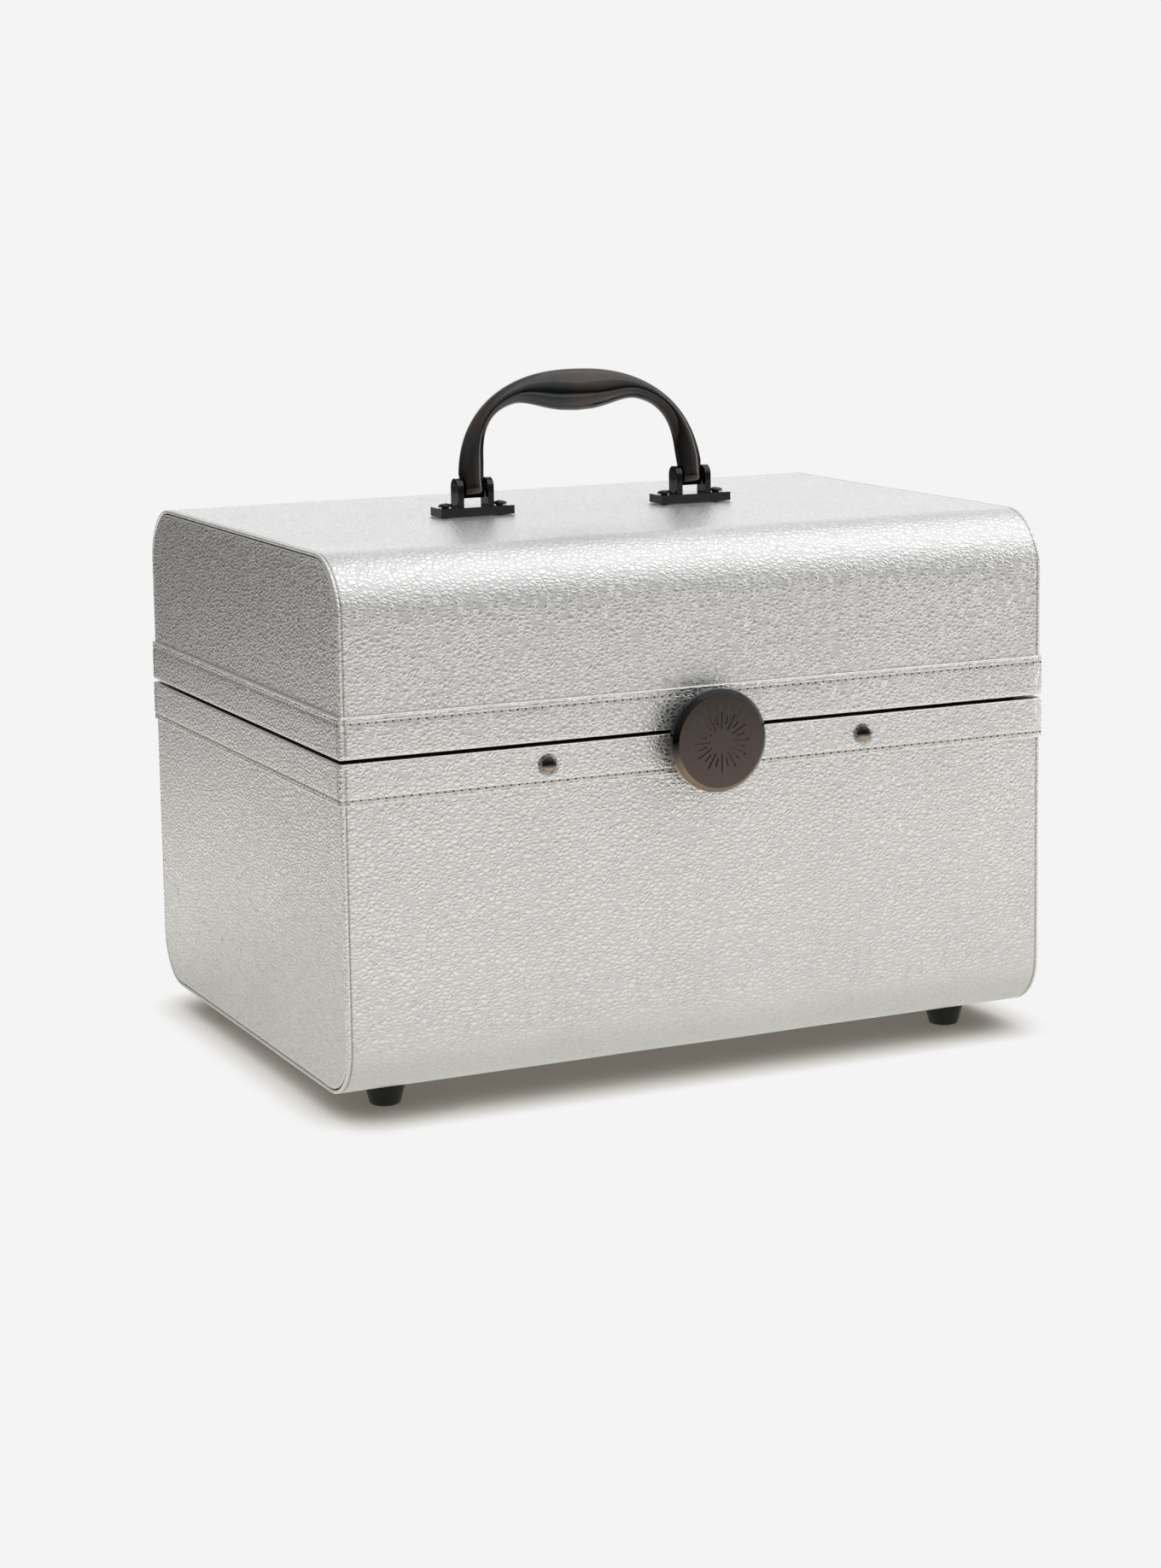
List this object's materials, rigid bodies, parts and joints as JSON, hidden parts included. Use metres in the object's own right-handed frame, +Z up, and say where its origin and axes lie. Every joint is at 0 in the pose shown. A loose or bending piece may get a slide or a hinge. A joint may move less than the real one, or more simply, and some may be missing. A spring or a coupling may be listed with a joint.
{
  "type": "makeup train case",
  "caption": "Hard makeup train case in silver pebbled leather with rounded top, hinged lid, swinging metal handle, round turn latch, rubber feet, tray and mirror.",
  "frame": {"origin": "bottom centre of the whole case, on the surface that its feet stand on", "axes": "+X to the case's right along its length, -Y towards the latch at the front, +Y towards the hinges, +Z up"},
  "size_m": [0.3022, 0.2397, 0.2707],
  "materials": {
    "silver_leather": "metallic silver, pebbled grain, soft sheen",
    "board": "pressed fibreboard, hidden",
    "lining_fabric": "matt woven lining",
    "gunmetal": "polished dark gunmetal plating",
    "satin_gunmetal": "satin brown-grey gunmetal",
    "steel": "plain steel",
    "rubber": "matt black",
    "tray_plastic": "fine matt moulding",
    "mirror_glass": "polished"
  },
  "bodies": {
    "base": {"band_rivet_left": "gunmetal", "band_rivet_right": "gunmetal", "base_binding_band": "silver_leather", "base_end_board_left": "board", "base_end_board_right": "board", "base_end_leather_left": "silver_leather", "base_end_leather_right": "silver_leather", "base_lining": "lining_fabric", "base_rim_frame": "tray_plastic", "base_wrap_board": "board", "base_wrap_leather": "silver_leather", "foot_front_left": "rubber", "foot_front_right": "rubber", "foot_rear_left": "rubber", "foot_rear_right": "rubber", "foot_screw_front_left": "steel", "foot_screw_front_right": "steel", "foot_screw_rear_left": "steel", "foot_screw_rear_right": "steel", "hinge_leaf_base_left": "gunmetal", "hinge_leaf_base_right": "gunmetal", "hinge_pin_left": "gunmetal", "hinge_pin_right": "gunmetal", "hinge_screw_base_left_a": "gunmetal", "hinge_screw_base_left_b": "gunmetal", "hinge_screw_base_right_a": "gunmetal", "hinge_screw_base_right_b": "gunmetal", "latch_keeper": "steel"},
    "lid": {"bracket_screw_left_inner": "gunmetal", "bracket_screw_left_outer": "gunmetal", "bracket_screw_right_inner": "gunmetal", "bracket_screw_right_outer": "gunmetal", "handle_bracket_left": "gunmetal", "handle_bracket_right": "gunmetal", "handle_pivot_pin_left": "gunmetal", "handle_pivot_pin_right": "gunmetal", "hinge_leaf_lid_left": "gunmetal", "hinge_leaf_lid_right": "gunmetal", "hinge_screw_lid_left_a": "gunmetal", "hinge_screw_lid_left_b": "gunmetal", "hinge_screw_lid_right_a": "gunmetal", "hinge_screw_lid_right_b": "gunmetal", "latch_housing": "gunmetal", "latch_screw_left": "steel", "latch_screw_right": "steel", "lid_binding_band": "silver_leather", "lid_end_board_left": "board", "lid_end_board_right": "board", "lid_end_leather_left": "silver_leather", "lid_end_leather_right": "silver_leather", "lid_lining": "lining_fabric", "lid_wrap_board": "board", "lid_wrap_leather": "silver_leather", "mirror_frame": "satin_gunmetal", "mirror_glass": "mirror_glass"},
    "handle": {"handle": "gunmetal"},
    "latch": {"latch_cam": "steel", "latch_knob": "satin_gunmetal"},
    "tray": {"tray": "tray_plastic", "tray_divider": "tray_plastic"}
  },
  "joints": [
    {"name": "lid_hinge", "type": "hinge", "parent": "base", "child": "lid", "pos_m": [0, 0.11705, 0.1391], "axis": [-1, 0, 0], "range_deg": [0, 100]},
    {"name": "handle_swing", "type": "hinge", "parent": "lid", "child": "handle", "pos_m": [0, 0.00205, 0.2251], "axis": [1, 0, 0], "range_deg": [-80, 100]},
    {"name": "latch_turn", "type": "hinge", "parent": "lid", "child": "latch", "pos_m": [0, -0.11525, 0.1355], "axis": [0, 1, 0], "range_deg": [0, 90]},
    {"name": "tray_lift", "type": "slide", "parent": "base", "child": "tray", "axis": [0, 0, 1], "range_m": [0, 0.035]}
  ]
}
